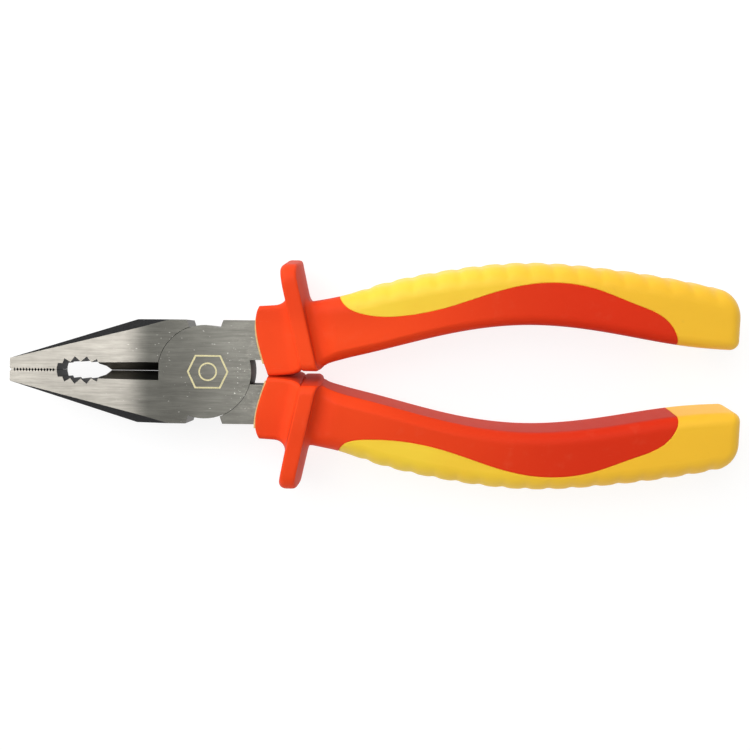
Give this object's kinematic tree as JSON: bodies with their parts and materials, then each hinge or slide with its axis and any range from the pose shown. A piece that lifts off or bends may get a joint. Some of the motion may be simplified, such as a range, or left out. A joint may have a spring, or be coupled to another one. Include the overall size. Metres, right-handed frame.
{
  "type": "insulated lineman pliers",
  "caption": "Combination pliers with tapered serrated jaws, a toothed pipe grip, V cutters, a lap joint and guarded insulated handles.",
  "frame": {"origin": "on the pivot axis, at the ground back face of the head", "axes": "+X along the tool from the pivot towards the handles, +Y across it towards the fixed half's handle, +Z out of the head's front face"},
  "size_m": [0.1972, 0.063, 0.0262],
  "materials": {
    "forged_steel": "ground faces brushed along the jaws, sides left dark",
    "rivet_steel": "ground flush and brushed",
    "liner_yellow": "satin",
    "sleeve_red": "satin moulded",
    "grip_yellow": "satin soft overmould"
  },
  "bodies": {
    "fixed_half": {"fixed_lever": "forged_steel", "fixed_liner": "liner_yellow", "fixed_sleeve": "sleeve_red", "fixed_grip": "grip_yellow", "pivot_rivet": "rivet_steel"},
    "moving_half": {"moving_lever": "forged_steel", "moving_liner": "liner_yellow", "moving_sleeve": "sleeve_red", "moving_grip": "grip_yellow"}
  },
  "joints": [
    {"name": "pivot", "type": "hinge", "parent": "fixed_half", "child": "moving_half", "pos_m": [0, 0, 0.006], "axis": [0, 0, -1], "range_deg": [0, 38]}
  ]
}
